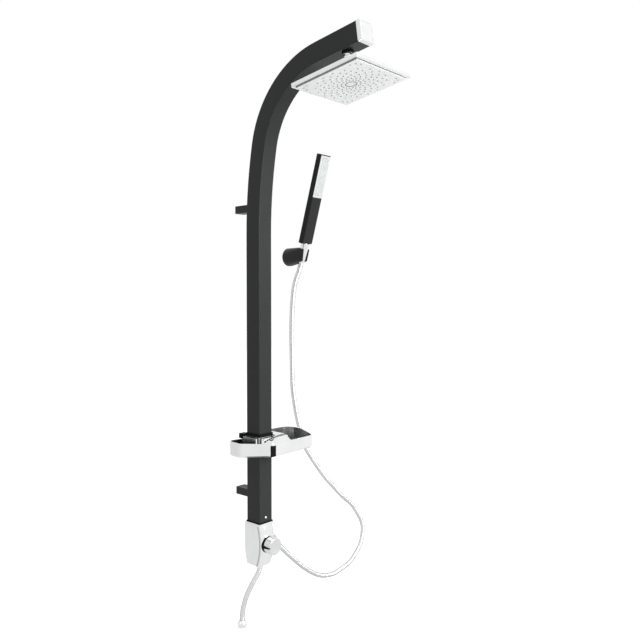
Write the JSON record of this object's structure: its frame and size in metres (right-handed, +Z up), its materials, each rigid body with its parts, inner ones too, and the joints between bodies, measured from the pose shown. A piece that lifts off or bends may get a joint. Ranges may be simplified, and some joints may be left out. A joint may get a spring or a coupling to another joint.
{
  "type": "rain shower set",
  "caption": "Black square-tube shower column with a bent arm, square rain head, diverter, hand shower, metal hose and a chrome tray.",
  "frame": {"origin": "hole for the lower bracket's wall screw, on the wall plane", "axes": "+X to the right as seen from the front, +Y into the wall, +Z up"},
  "size_m": [0.5747, 0.4906, 1.5124],
  "materials": {
    "black_paint": "satin black powder coat",
    "chrome_metal": "polished chrome plate",
    "chrome_plastic": "chrome plated plastic",
    "black_plastic": "fine satin black",
    "handset_black": "satin black",
    "face_plastic": "pale grey green",
    "nozzle_rubber": "soft grey silicone",
    "grey_rubber": "matt grey",
    "black_rubber": "matt black",
    "brass": "machined",
    "steel": "stainless",
    "hose_metal": "bright spiral steel sheath"
  },
  "bodies": {
    "shower_column": {"column_tube": "black_paint", "end_cap": "chrome_metal", "column_plug": "black_plastic", "riser_tube": "brass", "neck_fitting": "brass", "neck_collar": "black_plastic", "ball_stem": "chrome_metal", "lower_bracket": "black_plastic", "upper_bracket": "black_plastic", "lower_wall_plate": "steel", "upper_wall_plate": "steel", "bracket_screws": "steel", "bracket_grub_screws": "steel", "foot_seal": "black_plastic", "diverter_housing": "chrome_metal", "housing_screw": "chrome_metal", "diverter_cartridge": "brass", "cartridge_ring": "black_plastic", "outlet_elbow": "chrome_metal", "outlet_washer": "black_rubber", "inlet_stub": "brass", "inlet_washer": "black_rubber", "holder_cone": "black_plastic", "holder_wall_plate": "steel", "holder_grub_screw": "steel", "shower_hose": "hose_metal", "shower_hose_top": "hose_metal", "hose_end_nut": "chrome_metal", "supply_hose": "hose_metal", "supply_top_nut": "chrome_metal", "supply_end_nut": "chrome_metal"},
    "head_swivel": {"ball_slip_ring": "black_plastic"},
    "head": {"ball_nut": "chrome_metal", "ball_seal": "black_rubber", "inlet_filter": "steel", "head_shell": "chrome_plastic", "face_gasket": "grey_rubber", "head_face": "face_plastic", "nozzle_mat": "nozzle_rubber"},
    "diverter_knob": {"knob": "chrome_metal", "knob_index": "black_plastic", "knob_screw": "steel", "spool": "brass", "spool_seals": "black_rubber"},
    "handset": {"handset_body": "handset_black", "handset_face": "chrome_plastic", "handset_nozzles": "nozzle_rubber", "handset_stem": "chrome_metal", "cone_washer": "black_rubber", "hose_cone_nut": "chrome_metal", "hose_ferrule": "chrome_metal"},
    "tray": {"tray_body": "chrome_plastic", "tray_insert": "black_plastic", "tray_clamp": "black_plastic", "clamp_screw": "steel", "clamp_nut": "steel"}
  },
  "joints": [
    {"name": "neck_swivel", "type": "hinge", "parent": "shower_column", "child": "head_swivel", "pos_m": [0, -0.38546, 1.06876], "axis": [0, 0.1392, 0.9903], "continuous": true},
    {"name": "head_tilt", "type": "hinge", "parent": "head_swivel", "child": "head", "pos_m": [0, -0.38546, 1.06876], "axis": [1, 0, 0], "range_deg": [-15, 15]},
    {"name": "diverter_turn", "type": "hinge", "parent": "shower_column", "child": "diverter_knob", "pos_m": [0, -0.114, -0.128], "axis": [0, -1, 0], "range_deg": [-90, 0]},
    {"name": "handset_lift", "type": "slide", "parent": "shower_column", "child": "handset", "axis": [0, -0.284, 0.9588], "range_m": [0, 0.045], "deforming": ["shower_hose_top"]},
    {"name": "tray_height", "type": "slide", "parent": "shower_column", "child": "tray", "axis": [0, 0, 1], "range_m": [-0.08, 0.33]}
  ]
}
